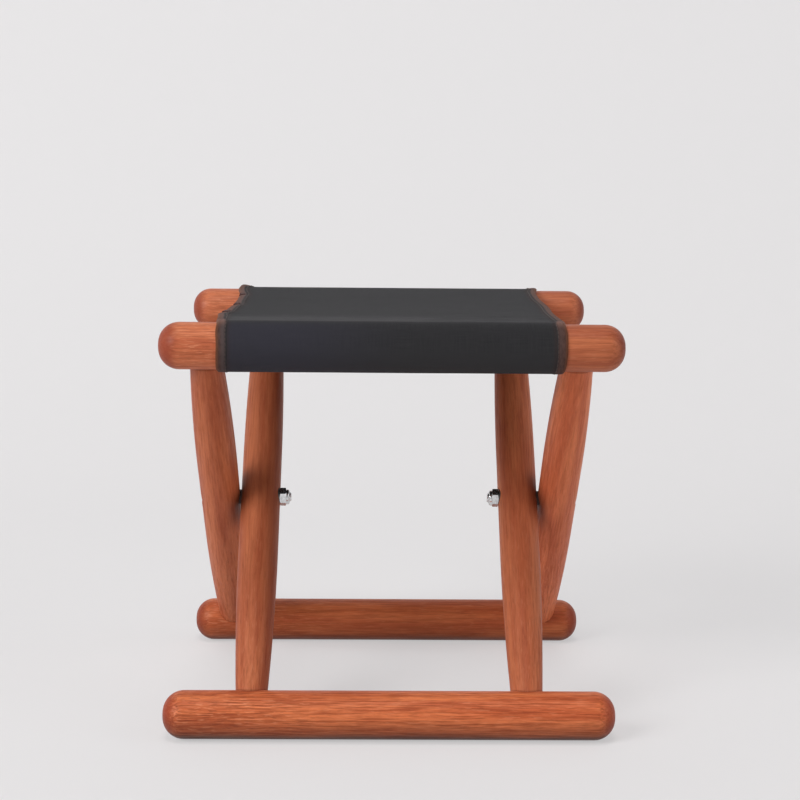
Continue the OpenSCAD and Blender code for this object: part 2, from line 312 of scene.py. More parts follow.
def shadedPivot(spot, wander, facing, colour):
    # painted shade between the crossing legs, round the pivot; facing is the side of the other leg
    marks = woodMarks
    side, along = split(spot)[::2]
    near = between(times(side, facing), *marks["pivotShadeSide"])
    lower = calc("ADD", along, marks["pivotShadeBelow"])
    reach = calc("MULTIPLY_ADD", wander, marks["pivotShadeUneven"], sizeOf(lower))
    share = times(near, between(reach, *marks["pivotShadeReach"], marks["pivotShadeShare"], 0.0))
    return blendColours(share, colour, woodLook["pivotShade"])


def shadedFlank(spot, bar, colour):
    # painted shade on the side of a leg that faces the middle of the stool
    inward = times(split(spot)[0], -bar["facing"])
    share = between(inward, 0.0, woodMarks["flankShadeFull"], 0.0, bar["flankShade"])
    return blendColours(share, colour, woodLook["dark"])


def alongBar(tree, place, turn):
    # places measured from a bar's middle, z along the bar
    lay = tree.nodes.new("ShaderNodeMapping")
    lay.vector_type = "TEXTURE"
    wire(lay.inputs["Vector"], objectPlace(tree))
    lay.inputs["Location"].default_value = place
    lay.inputs["Rotation"].default_value = turn
    return lay.outputs[0]


def drifting(own, wander):
    # the same places, shifted sideways a little, so that the grain isn't quite straight
    drift = times(wander, woodLook["drift"])
    return moved(own, newNode("CombineXYZ", drift, drift).outputs[0])


def woodGrain(own, wander, along, bar):
    # colour and height of the streaks and flecks
    look = woodLook
    fibre = drifting(own, wander)
    figure = between(noiseOf(fibre, *look["figureNoise"]), *look["figureFrom"])
    streakRates = (look["streakAcross"], look["streakAcross"], bar["streakRate"])
    streaky = noiseOf(fibre, streakRates, *look["streakNoise"])
    streaks = between(streaky, *look["streaksFrom"])
    threads = noiseOf(fibre, *look["threadNoise"])
    flecks = noiseOf(fibre, *look["fleckNoise"])
    pores = between(flecks, *look["poresFrom"])
    colour = blendColours(figure, look["middle"], look["light"])
    strong = times(streaks, look["streakShare"] * bar["contrast"])
    colour = blendColours(strong, colour, look["dark"])
    fine = between(threads, *look["threadsFrom"], 0.0, look["threadShare"] * bar["contrast"])
    colour = blendColours(fine, colour, look["dark"])
    # short flecks, pale and dark, most of them towards one end
    few = look["fleckFade"] * bar["flecks"]
    many = between(along, *bar["flecksFrom"], bar["flecks"], few)
    pale = times(between(flecks, *look["paleFrom"]), many)
    colour = blendColours(pale, colour, look["pale"])
    dark = times(pores, times(many, bar["pores"]))
    colour = blendColours(dark, colour, look["pore"])
    sunk = times(pores, -look["poreSink"])
    return colour, calc("MULTIPLY_ADD", streaks, -look["streakSink"], sunk), streaks


def turnedWood(name, place, turn, bar):
    look = woodLook
    material, tree, shader = newMaterial(name)
    spot = alongBar(tree, place, turn)
    along = split(spot)[2]
    own = moved(spot, tuple(bar["seed"] * step for step in look["seedStep"]))
    wander = noiseOf(own, *look["wanderNoise"])
    colour, height, streaks = woodGrain(own, wander, along, bar)
    if bar["isRail"]:
        colour, height = domeEnds(spot, own, wander, bar["endZone"], colour, height)
    else:
        colour = shadedFlank(spot, bar, colour)
        colour = shoulderLine(spot, colour)
        colour = shadedPivot(spot, wander, bar["facing"], colour)
    # painted shade towards the ground on the floor rails
    if bar["undersideShade"]:
        colour = shadedUnderside(tree, wander, bar["undersideShade"], colour)
    shade = tree.nodes.new("ShaderNodeHueSaturation")
    shade.inputs["Saturation"].default_value = bar["depth"]
    end = look["toneEnd"]
    wire(shade.inputs["Value"], between(along, -end, end, *bar["toneAndShade"]))
    wire(shade.inputs["Color"], colour)
    roughness = between(streaks, 0.0, 1.0, *look["roughness"])
    setSurface(shader, shade.outputs[0], roughness, height, look["bump"])
    shader.inputs["Specular IOR Level"].default_value = bar["gloss"]
    return material


# tone and shade: lighter or darker wood at a bar's two ends, left and right on a rail, low and high
# on a leg, partly painted light and shade for how brightly each part of a bar is lit
# endZone: how far in from its left and its right tip a rail's end grain reaches
# flecksFrom: the places along a bar between which the flecks grow few
# depth: how strong the colour is; flank shade: how dark the painted shade is on the side towards
# the middle of the stool
railLook = {
    "isRail": True, "flecks": 0.45, "pores": 0.9, "flecksFrom": (-0.12, -0.02), "streakRate": 26,
    "endZone": (0.0088, 0.0088), "depth": 1.0, "gloss": 0.23, "undersideShade": 0,
}
turnedRails = {
    "front_seat_rail": {
        "side": -1, "row": "seatZ", "seed": 1, "toneAndShade": (0.96, 0.78), "contrast": 0.56,
        "depth": 0.97, "endZone": (0.0120, 0.0062), "pores": 0.5,
    },
    "rear_seat_rail": {
        "side": 1, "row": "seatZ", "seed": 2, "toneAndShade": (0.96, 0.82), "contrast": 0.44,
        "depth": 0.96, "endZone": (0.0084, 0.0062), "pores": 0.4,
    },
    "front_floor_rail": {
        "side": -1, "row": "floorZ", "seed": 3, "toneAndShade": (1.08, 1.16), "contrast": 1.05,
        "undersideShade": 1.0,
    },
    "rear_floor_rail": {
        "side": 1, "row": "floorZ", "seed": 4, "toneAndShade": (0.89, 0.89), "contrast": 0.56,
        "undersideShade": 0.6, "pores": 0.5,
    },
}
for name, own in turnedRails.items():
    bar = {**railLook, **own}
    place = (0, bar["side"] * stoolPlaces["halfSpread"], stoolPlaces[bar["row"]])
    dress(name, turnedWood(name + "_wood", place, (0, math.pi / 2, 0), bar))

legLook = {
    "isRail": False, "flecks": 0.22, "pores": 0.9, "flecksFrom": (-0.12, 0.0), "streakRate": 38,
    "contrast": 0.38, "depth": 0.97, "gloss": 0.14, "flankShade": 0, "undersideShade": 0,
}
turnedLegs = {
    "outer_leg_left": {
        "x": -stoolPlaces["outerLegX"], "way": 1, "facing": 1, "seed": 5, "toneAndShade": (0.92, 0.84),
    },
    "outer_leg_right": {
        "x": stoolPlaces["outerLegX"], "way": 1, "facing": -1, "seed": 6, "toneAndShade": (1.22, 1.12),
    },
    "inner_leg_left": {
        "x": -stoolPlaces["innerLegX"], "way": -1, "facing": -1, "seed": 7, "toneAndShade": (0.78, 0.66),
        "flankShade": 0.45,
    },
    "inner_leg_right": {
        "x": stoolPlaces["innerLegX"], "way": -1, "facing": 1, "seed": 8, "toneAndShade": (0.80, 0.90),
        "flankShade": 0.12,
    },
}
for name, own in turnedLegs.items():
    bar = {**legLook, **own}
    place = (bar["x"], 0, stoolPlaces["pivotZ"])
    turn = (bar["way"] * stoolPlaces["lean"], 0, 0)
    dress(name, turnedWood(name + "_wood", place, turn, bar))
print("wood dressed")

# metal, nylon and fibre; noise: rates, detail, roughness; bumps: strength, depth
hardwareLook = {
    "zinc": ((0.76, 0.77, 0.78), (0.12, 0.24)),  # colour, roughness
    "dullSteel": ((0.22, 0.21, 0.20), (0.4, 0.55)),
    "nylon": ((0.74, 0.75, 0.71), 0.32),
    "fibre": ((0.060, 0.021, 0.013), 0.6),
    "cloudNoise": ((260, 260, 260), 4.0, 0.6),
    "clouded": 0.72,  # how dark the clouds on the plating are
    "scratchNoise": ((900, 4200, 4200), 2.0, 0.6),
    "scratchBump": (0.35, 0.00003),
    "tack": (0.36, 0.33, 0.29),
    "tackRust": (0.16, 0.085, 0.045),
    "tackRough": (0.34, 0.72),
    "rustNoise": ((700, 700, 700), 4.0, 0.65),
    "rustFrom": (0.48, 0.72),
    "rustBump": (0.4, 0.00008),
    "hazeNoise": ((900, 900, 900), 2.0),
    "hazeBump": (0.2, 0.00004),
    "hazed": 0.8,
    "hazeRough": 0.14,  # how much rougher the hazy places are
}


def platedSteel(name, colour, rough):
    look = hardwareLook
    material, tree, shader = newMaterial(name)
    spot = objectPlace(tree)
    cloud = noiseOf(spot, *look["cloudNoise"])
    lines = noiseOf(spot, *look["scratchNoise"])
    dull = darker(colour, look["clouded"])
    clouded = blendColours(between(cloud, 0.4, 0.75), colour, dull)
    roughness = between(cloud, 0.3, 0.7, *rough)
    setSurface(shader, clouded, roughness, lines, look["scratchBump"])
    shader.inputs["Metallic"].default_value = 1.0
    return material


def tackSteel():
    look = hardwareLook
    material, tree, shader = newMaterial("dull_tack_steel")
    stain = noiseOf(objectPlace(tree), *look["rustNoise"])
    share = between(stain, *look["rustFrom"])
    colour = blendColours(share, look["tack"], look["tackRust"])
    roughness = between(share, 0.0, 1.0, *look["tackRough"])
    setSurface(shader, colour, roughness, stain, look["rustBump"])
    shader.inputs["Metallic"].default_value = 0.9
    return material


def pressedMatter(name, colour, rough):
    # hazy nylon, or hard pressed fibre
    look = hardwareLook
    material, tree, shader = newMaterial(name)
    haze = noiseOf(objectPlace(tree), *look["hazeNoise"])
    hazy = blendColours(haze, colour, darker(colour, look["hazed"]))
    roughness = between(haze, 0.3, 0.7, rough, rough + look["hazeRough"])
    setSurface(shader, hazy, roughness, haze, look["hazeBump"])
    return material


brightZinc = platedSteel("bright_zinc", *hardwareLook["zinc"])
dullSteel = platedSteel("dull_washer_steel", *hardwareLook["dullSteel"])
whiteNylon = pressedMatter("white_nylon", *hardwareLook["nylon"])
darkFibre = pressedMatter("dark_fibre", *hardwareLook["fibre"])
dullTacks = tackSteel()
for hand in ("left", "right"):
    dress("pivot_bolt_" + hand, brightZinc)
    dress("lock_nut_" + hand, brightZinc)
    dress("nut_washer_" + hand, dullSteel)
    dress("leg_spacer_" + hand, darkFibre)
    dress("lock_ring_" + hand, whiteNylon)
for place in ("front", "rear"):
    dress(place + "_tacks", dullTacks)
print("hardware dressed")

# canvas seat: one strip of cloth, parted at the two rails and the middle line so that it can fold
seatCloth = {
    "innerRadius": 0.0151,
    "outerRadius": 0.01645,
    "sag": 0.0010,
    "wrapPast": 0.004,  # the wraps run this far past the top of a rail, onto the seat
    "fullTurn": 176.7,  # degrees round the rail from its top, full width
    "tailTurn": 212.0,  # where the tail between the legs ends
    "tailStart": 0.0002,  # from the end of the full width to the start of the tail
    "frontTailHalf": 0.1035,
    "rearTailHalf": 0.0769,
    "columns": 88,
    "panelRows": 88,
    "wrapRows": 44,
    "tailRows": 12,
}
tapeBand = {
    "width": 0.0072,
    "proud": 0.00022,  # how far it stands above the canvas
    "panelRows": 150,
    "wrapRows": 56,
    "wobble": 0.00022,  # of its outer part, and how often in a metre
    "wobbleRate": 90,
    "wobbleDepth": 0.003,
    "mapStart": 0.2,  # its places in the cloth's map start here, well clear of the canvas
}
seatEdges = {
    -1: {  # left
        "half": 0.1114,  # from the middle to the outside of the tape, on the rails
        "waist": 0.0042,  # how far the side draws in between the rails
        "tuck": 0.0010,  # how far it turns in under a rail
        # y, reach and size of each swell
        "swells": [
            (-0.138, 0.014, -0.0013), (-0.076, 0.018, 0.0032), (-0.045, 0.030, 0.0014),
            (0.090, 0.024, 0.0018), (0.127, 0.012, -0.0034),
        ],
        "corner": 0.0019,  # how far the rear corner stands up
        "ties": (0.059, -0.005, -0.060),  # y of the threads that gather this side
    },
    1: {  # right
        "half": 0.1097,
        "waist": 0.0022,
        "tuck": 0.0014,
        "swells": [(0.112, 0.015, 0.0018), (-0.006, 0.034, 0.0017)],
        "corner": 0.0007,
        "ties": (),
    },
}
gathers = {
    "reach": 0.018,  # from a tie to where the edge stands full again
    "puff": 0.0006,
    "puffIn": 0.006,  # how far in from the edge the cloth puffs up
    "bulge": 0.0009,
    "fade": 0.016,  # from a rail's top line to where the side is gathered in full
}
edgeTurns = {
    "nip": (0.0008, 0.0055, 0.006),  # size, place past a rail's top line, reach
    "tuck": (100, 95),  # where it starts and over how many degrees it grows, round a rail
    "corner": (-0.003, 0.009),  # a raised corner: place past the top line, reach
    "rise": (-0.0035, 0.0045),  # depth from the edge where it starts to rise, and over how much
    "fall": (0.0012, 0.0080),
}
clothRipple = {
    "broad": (0.00020, 26, 34, 3.1),  # size, rates along x and y, layer of the noise
    "crease": (0.00012, 14, 150, 8.4),
    "creaseAt": (-0.075, 0.03),  # y of the creases, and their reach
    "pucker": (0.00010, 0.0085, 0.008),  # size, pitch, how far in from the tape they reach
    "puckerDrift": (1.7, 60),
    "onRail": 0.4,  # share of the ripple where the cloth lies on a rail
    "sinkLimit": 0.00006,
}
midRadius = (seatCloth["innerRadius"] + seatCloth["outerRadius"]) / 2
halfSpread = stoolPlaces["halfSpread"]
clothInset = 0.8 * tapeBand["width"]  # the canvas ends this far in from the outside of the tape


def bell(value, centre, reach):
    return math.exp(-((value - centre) / reach) ** 2)


def easing(value):
    value = min(1.0, max(0.0, value))
    return value * value * (3 - 2 * value)


def ramp(value, start, over):
    return easing((value - start) / over)


def fullness(side, along, end):
    # 0 at a tie, 1 away from them; none where the side isn't gathered, or beyond a rail
    ties = seatEdges[side]["ties"]
    if not ties or along > halfSpread:
        return 0.0
    nearest = min(abs(end * along - tie) for tie in ties)
    return easing(nearest / gathers["reach"]) * easing((halfSpread - along) / gathers["fade"])


def edgeHalf(side, along, end):
    # distance from the middle plane to the outside of the edge tape
    edge = seatEdges[side]
    nip, past, width = edgeTurns["nip"]
    half = edge["half"] - nip * bell(along, halfSpread + past, width)
    half += sum(size * bell(end * along, centre, reach) for centre, reach, size in edge["swells"])
    if along > halfSpread:
        turn = math.degrees((along - halfSpread) / midRadius)
        return half - edge["tuck"] * ramp(turn, *edgeTurns["tuck"])
    half -= edge["waist"] * (1 - (along / halfSpread) ** 3)
    return half + gathers["bulge"] * fullness(side, along, end)


def edgeLift(side, along, end, depth):
    # how far the seat rises near its sides; depth is measured inwards from the edge
    lift = gathers["puff"] * fullness(side, along, end) * math.exp(-depth / gathers["puffIn"])
    if end > 0:
        (past, reach), (start, over) = edgeTurns["corner"], edgeTurns["fall"]
        tent = ramp(depth, *edgeTurns["rise"]) * easing(1 - (depth - start) / over)
        lift += seatEdges[side]["corner"] * bell(along, halfSpread + past, reach) * tent
    return lift


def onCloth(x, along, end, radius):
    # a place on the strip: along is measured from the middle line, over the rail and round it
    if along <= halfSpread:
        dip = seatCloth["sag"] * math.cos(math.pi * along / 2 / halfSpread) ** 2
        return Vector((x, end * along, stoolPlaces["seatZ"] + radius - dip))
    turn = (along - halfSpread) / midRadius
    y = halfSpread + radius * math.sin(turn)
    return Vector((x, end * y, stoolPlaces["seatZ"] + radius * math.cos(turn)))


def outward(along, end):
    if along <= halfSpread:
        return Vector((0, 0, 1))
    turn = (along - halfSpread) / midRadius
    return Vector((0, end * math.sin(turn), math.cos(turn)))


def waver(x, y, size, rateX, rateY, layer):
    return size * noise.noise(Vector((x * rateX, y * rateY, layer)))


def ripple(x, along, end, depth):
    # slight unevenness of the taut cloth, and puckers beside the sewn edges
    look = clothRipple
    y = end * along
    broad = waver(x, y, *look["broad"])
    creases = waver(x, y, *look["crease"]) * bell(y, *look["creaseAt"])
    (size, pitch, inwards), (drift, rate) = look["pucker"], look["puckerDrift"]
    beside = math.exp(-max(0.0, depth - tapeBand["width"]) / inwards)
    shift = drift * noise.noise(Vector((along * rate, x, end)))
    return broad + creases + size * beside * math.sin(along * 2 * math.pi / pitch + shift)


def steps(first, last, count):
    return [first + (last - first) * k / count for k in range(count + 1)]


def pieceSpan(part):
    pastTop = halfSpread - seatCloth["wrapPast"]
    if part == "panel":
        return 0.0, pastTop
    return pastTop, halfSpread + midRadius * math.radians(seatCloth["fullTurn"])


def meshPiece(name, points, faces, material, places=None):
    mesh = bpy.data.meshes.new(name)
    mesh.from_pydata(points, [], faces)
    mesh.materials.append(material)
    if places:
        layer = mesh.uv_layers.new(name="ClothPlace")
        for loop in mesh.loops:
            layer.data[loop.index].uv = places[loop.vertex_index]
    mesh.validate()
    mesh.update()
    mesh.polygons.foreach_set("use_smooth", [True] * len(mesh.polygons))
    mesh.set_sharp_from_angle(angle=math.radians(40))
    piece = bpy.data.objects.new(name, mesh)
    scene.collection.objects.link(piece)
    return piece


def clothRows(end, part):
    # places along the strip, each with the most that its row may reach to the sides
    first, last = pieceSpan(part)
    if part == "panel":
        return [(along, 1.0) for along in steps(first, last, seatCloth["panelRows"])]
    most = seatCloth["frontTailHalf"] if end < 0 else seatCloth["rearTailHalf"]
    stop = halfSpread + midRadius * math.radians(seatCloth["tailTurn"])
    full = [(along, 1.0) for along in steps(first, last, seatCloth["wrapRows"])]
    tail = steps(last + seatCloth["tailStart"], stop, seatCloth["tailRows"])
    return full + [(along, most) for along in tail]


def clothPoint(share, along, end, most, radius, last):
    # share runs from -1 at the left side of its row to 1 at the right
    side = -1 if share < 0 else 1
    half = edgeHalf(side, along, end)
    x = share * min(half - clothInset, most)
    depth = half - abs(x)
    lift = 0.0
    if along <= last:
        lift = ripple(x, along, end, depth)
        if along > halfSpread:
            lift = max(clothRipple["onRail"] * lift, -clothRipple["sinkLimit"])
        lift += edgeLift(side, along, end, depth)
    return onCloth(x, along, end, radius + lift)


def sheetFaces(rows, columns, end):
    # a sheet of two layers of points, closed all round its border
    layer = rows * columns
    faces = []
    for r in range(rows - 1):
        for k in range(columns - 1):
            a, b = r * columns + k, (r + 1) * columns + k
            top = (a, a + 1, b + 1, b) if end > 0 else (a, b, b + 1, a + 1)
            faces.append(top)
            faces.append(tuple(v + layer for v in reversed(top)))
    lastRow = (rows - 1) * columns
    border = list(range(columns)) + [r * columns + columns - 1 for r in range(1, rows)]
    border += [lastRow + k for k in range(columns - 2, -1, -1)]
    border += [r * columns for r in range(rows - 2, 0, -1)]
    for here, after in zip(border, border[1:] + border[:1]):
        rim = (here, after, after + layer, here + layer)
        faces.append(rim if end < 0 else tuple(reversed(rim)))
    return faces


def clothPiece(name, end, part, material):
    columns = seatCloth["columns"] + 1
    rows = clothRows(end, part)
    last = pieceSpan(part)[1]
    mapHalf = seatEdges[-1]["half"] - clothInset
    points, places = [], []
    for radius in (seatCloth["outerRadius"], seatCloth["innerRadius"]):
        for along, most in rows:
            for k in range(columns):
                share = 2 * k / (columns - 1) - 1
                points.append(clothPoint(share, along, end, most, radius, last))
                places.append((share * mapHalf, end * along))
    return meshPiece(name, points, sheetFaces(len(rows), columns, end), material, places)


def tapeSection():
    # the folded band seen end-on, all round it from its inner edge:
    # depth inwards from its outer edge, height above the cloth's underside
    wide = tapeBand["width"]
    thick = seatCloth["outerRadius"] - seatCloth["innerRadius"]
    top = thick + tapeBand["proud"]
    return [
        (wide, thick * 0.6), (wide - 0.0001, top - 0.00018), (wide - 0.0006, top - 0.00004),
        (0.0048, top), (0.0032, top), (0.0019, top - 0.00002), (0.0010, top - 0.00016),
        (0.0004, top - 0.00042), (0.0, top - 0.0009), (0.0001, 0.00045), (0.0005, 0.00014),
        (0.0013, 0.0), (0.0038, -0.00002), (wide - 0.0004, 0.0),
    ]


def bandFaces(base, rows, ring, forward):
    # a closed band through rings of points, with both of its ends
    faces = []
    for r in range(rows - 1):
        for k in range(ring):
            a, b = base + r * ring + k, base + r * ring + (k + 1) % ring
            faces.append((a, b, b + ring, a + ring))
    if not forward:
        faces = [tuple(reversed(face)) for face in faces]
    start = tuple(base + k for k in range(ring))
    stop = tuple(base + (rows - 1) * ring + k for k in range(ring))
    faces.append(tuple(reversed(start)) if forward else start)
    faces.append(stop if forward else tuple(reversed(stop)))
    return faces


def tapePiece(name, end, part, material):
    band = tapeBand
    first, last = pieceSpan(part)
    rows = steps(first, last, band[part + "Rows"])
    section = tapeSection()
    points, faces, places = [], [], []
    for side in (-1, 1):
        base = len(points)
        for along in rows:
            waves = noise.noise(Vector((along * band["wobbleRate"], side * 4.0, end * 2.0)))
            wander = band["wobble"] * waves
            half = edgeHalf(side, along, end)
            for depth, height in section:
                x = side * (half - depth + wander * (depth < band["wobbleDepth"]))
                lift = edgeLift(side, along, end, depth)
                points.append(onCloth(x, along, end, seatCloth["innerRadius"] + height + lift))
                places.append((side * (band["mapStart"] + depth), end * along))
        faces += bandFaces(base, len(rows), len(section), side * end < 0)
    return meshPiece(name, points, faces, material, places)


stitching = {
    "colour": (0.080, 0.046, 0.036),
    "pitch": 0.0030,
    "length": 0.0022,
    "radius": 0.00020,
    "fromEdge": 0.0060,
    "start": 0.0009,  # from the end of a piece to its first stitch
    "spare": 0.001,  # cloth left free of stitches
    "slant": 0.00012,
    "rise": 1.1,  # height in the middle, and depth at the ends, in radii
    "sink": 0.45,
    "steps": 6,
    "sides": 6,
}
edgeTies = {
    # dark and thick enough to stand in, partly, for painted shade in the gathered notches
    "colour": (0.085, 0.024, 0.021),
    "turns": 8,
    "pitch": 0.0010,
    "reach": 0.0035,  # how far in from the edge a tie goes through the seat
    "radius": 0.00046,
    "proud": 0.4,  # how much of its radius stands clear of the cloth
    "slant": 0.0005,
    "outside": 0.0006,  # how far outside the edge it passes
    "curve": 1.2,
    "over": 0.10,  # share of its length in which it passes from above to the very edge
    "steps": 20,
    "sides": 7,
}
threadTip = 0.45  # thickness of a thread at its two ends


def tube(points, faces, path, radius, sides):
    # a short closed thread along a path of (place, up) pairs, added to the lists
    base, count = len(points), len(path)
    for k, (place, up) in enumerate(path):
        ahead = (path[min(k + 1, count - 1)][0] - path[max(k - 1, 0)][0]).normalized()
        across = ahead.cross(up).normalized()
        rise = across.cross(ahead)
        size = radius * (threadTip if k in (0, count - 1) else 1.0)
        for s in range(sides):
            angle = 2 * math.pi * s / sides
            points.append(place + size * (math.cos(angle) * across + math.sin(angle) * rise))
    for k in range(count - 1):
        for s in range(sides):
            a, b = base + k * sides + s, base + k * sides + (s + 1) % sides
            faces.append((a, a + sides, b + sides, b))
    faces.append(tuple(base + s for s in range(sides)))
    faces.append(tuple(base + (count - 1) * sides + s for s in reversed(range(sides))))


def stitchPath(side, end, start):
    t = stitching
    path = []
    for q in steps(0.0, 1.0, t["steps"]):
        along = start + q * t["length"]
        depth = t["fromEdge"] + t["slant"] * (q - 0.5)
        x = side * (edgeHalf(side, along, end) - depth)
        height = seatCloth["outerRadius"] + tapeBand["proud"] + edgeLift(side, along, end, depth)
        arch = t["rise"] * math.sin(math.pi * q) - t["sink"]
        height += t["radius"] * arch
        path.append((onCloth(x, along, end, height), outward(along, end)))
    return path


def stitchPiece(name, end, part, material):
    t = stitching
    first, last = pieceSpan(part)
    points, faces = [], []
    for side in (-1, 1):
        for k in range(int((last - first - t["spare"]) / t["pitch"])):
            path = stitchPath(side, end, first + t["start"] + k * t["pitch"])
            tube(points, faces, path, t["radius"], t["sides"])
    return meshPiece(name, points, faces, material)


def tiePath(at, end):
    # one turn of thread round the left edge: over the top, round and under
    t = edgeTies
    thick = seatCloth["outerRadius"] - seatCloth["innerRadius"]
    middle = seatCloth["innerRadius"] + thick / 2
    over = thick / 2 + tapeBand["proud"] + t["proud"] * t["radius"]
    under = thick / 2 + t["proud"] * t["radius"]
    path = []
    for q in steps(0.0, 1.0, t["steps"]):
        along = at + t["slant"] * (0.5 - q)
        spread = abs(2 * q - 1)  # 1 at both ends of the thread, 0 on the very edge
        depth = t["reach"] * spread ** t["curve"] - t["outside"] * (1 - spread)
        rise = max(-under, min(over, over * (0.5 - q) / t["over"]))
        lift = edgeLift(-1, along, end, max(0.0, depth))
        x = depth - edgeHalf(-1, along, end)
        path.append((onCloth(x, along, end, middle + rise + lift), Vector((0, 1, 0))))
    return path


def tiePiece(name, end, material):
    # a few turns of dark thread at each place where the left side is gathered; their darkness is
    # partly painted shade for the notches there
    t = edgeTies
    points, faces = [], []
    for tie in (end * y for y in seatEdges[-1]["ties"] if end * y > 0):
        for lap in range(t["turns"]):
            at = tie + (lap - (t["turns"] - 1) / 2) * t["pitch"]
            tube(points, faces, tiePath(at, end), t["radius"], t["sides"])
    return meshPiece(name, points, faces, material)


canvasLook = {
    "cloth": (0.0265, 0.0262, 0.0285),
    "clothLight": (0.0400, 0.0395, 0.0420),
    # a pale grey for wear, also used for painted highlights on the top and folds
    "wearAndHighlight": (0.0680, 0.0670, 0.0700),
    "bluishPale": (0.0410, 0.0395, 0.0560),
    "deep": 0.45,  # how dark it is between the threads, and the painted shade where it turns under the rail
    "threadPitch": 0.00055,
    "crossing": 0.25,  # how softly one thread passes over the other
    "slubWarp": ((1900, 55, 1), 2.0, 0.6),
    "slubWeft": ((55, 1900, 1), 2.0, 0.6),
    "slubbed": (0.3, 0.75),
    "cloudNoise": ((24, 36, 1), 4.0, 0.6),
    "clouded": (0.52, 0.85, 0.0, 0.5),
    "gaps": (0.25, 0.7, 0.45, 0.0),
    "roughness": (0.88, 0.72),
    "slubHeight": 0.4,
    "bump": (0.55, 0.00014),
    "gloss": 0.12,
    "sheen": 0.025,
    "sheenRough": 0.45,
    "sheenTint": (0.75, 0.78, 0.85, 1),
}
# marks on the canvas; places along it are measured from the front rail's top line, inwards where
# they are positive and down the front where they are negative
canvasMarks = {
    "turnBefore": 0.003,  # from the worn turn over a rail, partly a painted highlight, to that rail's top line
    "turnReach": 0.008,
    "turnPatches": (0.25, 0.75, 0.15, 0.65),
    "band": (0.040, 0.010, 0.0, 0.60),
    "bandStop": (-0.0030, 0.0005),
    "bandSides": (0.045, 0.005, 0.12, 1.0),
    # painted light from below on the low half of the front face
    "blended": (-0.018, -0.034, 0.0, 0.85),
    # painted shade where the cloth turns under the front rail
    "under": (-0.0405, -0.0440, 0.0, 0.7),
    "bluishSide": (0.02, -0.08, 0.0, 0.60),
    "bluishStart": (0.0, -0.010),
    "wornHighlightNoise": ((38, 210, 1), 4.0, 0.62, 0.3),
    "wornHighlight": (0.44, 0.72, 0.0, 0.75),
    "wornHighlightZone": (0.050, 0.012),
    "wornHighlightStop": (-0.004, 0.004),
    "besideTape": 0.0045,
    "besideShare": 0.5,
}


def plainWeave(place):
    # the height of threads that pass over and under each other, and their slubs
    look = canvasLook
    across, along = split(place)[:2]
    rate = math.pi / look["threadPitch"]
    warp = calc("SINE", times(across, rate))
    weft = calc("SINE", times(along, rate))
    over = between(times(warp, weft), -look["crossing"], look["crossing"])
    under = minus(1.0, over)
    warpTop = times(sizeOf(warp), over)
    weftTop = times(sizeOf(weft), under)
    slubWarp = noiseOf(place, *look["slubWarp"])
    slubWeft = times(noiseOf(place, *look["slubWeft"]), under)
    slub = calc("MULTIPLY_ADD", slubWarp, over, slubWeft)
    return calc("ADD", warpTop, weftTop), slub


def fromFront(along, near, far, start=0.0, end=1.0):
    # as between, for places that are measured from the front rail's top line
    return between(along, near - halfSpread, far - halfSpread, start, end)


def markedCanvas(place, cloud, colour):
    look, marks = canvasLook, canvasMarks
    across, along = split(place)[:2]
    # worn lighter where the cloth turns over the rails, partly a painted highlight on the fold
    turn = halfSpread - marks["turnBefore"]
    near = sizeOf(minus(sizeOf(along), turn))
    patchy = between(cloud, *marks["turnPatches"])
    wornAndLit = times(between(near, 0.0, marks["turnReach"], 1.0, 0.0), patchy)
    colour = blendColours(wornAndLit, colour, look["wearAndHighlight"])
    # a painted highlight: a paler band on top, just before the front fold, that fades to the right
    band = fromFront(along, *marks["band"])
    band = times(band, fromFront(along, *marks["bandStop"]))
    band = times(band, between(across, *marks["bandSides"]))
    colour = blendColours(band, colour, look["wearAndHighlight"])
    # painted light and shade: the low half of the front face is a little lighter, for the light
    # from the floor below, and darker where it turns under the rail
    colour = blendColours(fromFront(along, *marks["blended"]), colour, look["clothLight"])
    deep = darker(look["cloth"], look["deep"])
    colour = blendColours(fromFront(along, *marks["under"]), colour, deep)
    # a little paler and bluer at the front left
    left = between(across, *marks["bluishSide"])
    bluishLeft = times(left, fromFront(along, *marks["bluishStart"]))
    colour = blendColours(bluishLeft, colour, look["bluishPale"])
    # faint pale rub marks on top, beside the front fold, partly a painted highlight
    wornHighlightLevel = noiseOf(place, *marks["wornHighlightNoise"])
    zone = fromFront(along, *marks["wornHighlightZone"])
    zone = times(zone, fromFront(along, *marks["wornHighlightStop"]))
    wornHighlight = times(between(wornHighlightLevel, *marks["wornHighlight"]), zone)
    colour = blendColours(wornHighlight, colour, look["wearAndHighlight"])
    # the brown of the tape rubs off on the cloth beside it
    stop = seatEdges[-1]["half"] - clothInset
    start = stop - marks["besideTape"]
    beside = between(sizeOf(across), start, stop, 0.0, marks["besideShare"])
    return blendColours(beside, colour, tapeLook["dark"])


def canvasWeave():
    look = canvasLook
    material, tree, shader = newMaterial("charcoal_canvas")
    place = clothPlace(tree)
    weave, slub = plainWeave(place)
    cloud = noiseOf(place, *look["cloudNoise"])
    colour = blendColours(between(slub, *look["slubbed"]), look["cloth"], look["clothLight"])
    colour = blendColours(between(cloud, *look["clouded"]), colour, look["clothLight"])
    deep = darker(look["cloth"], look["deep"])
    colour = blendColours(between(weave, *look["gaps"]), colour, deep)
    colour = markedCanvas(place, cloud, colour)
    roughness = between(weave, 0.0, 1.0, *look["roughness"])
    height = calc("MULTIPLY_ADD", slub, look["slubHeight"], weave)
    setSurface(shader, colour, roughness, height, look["bump"])
    setSheen(shader, look)
    return material


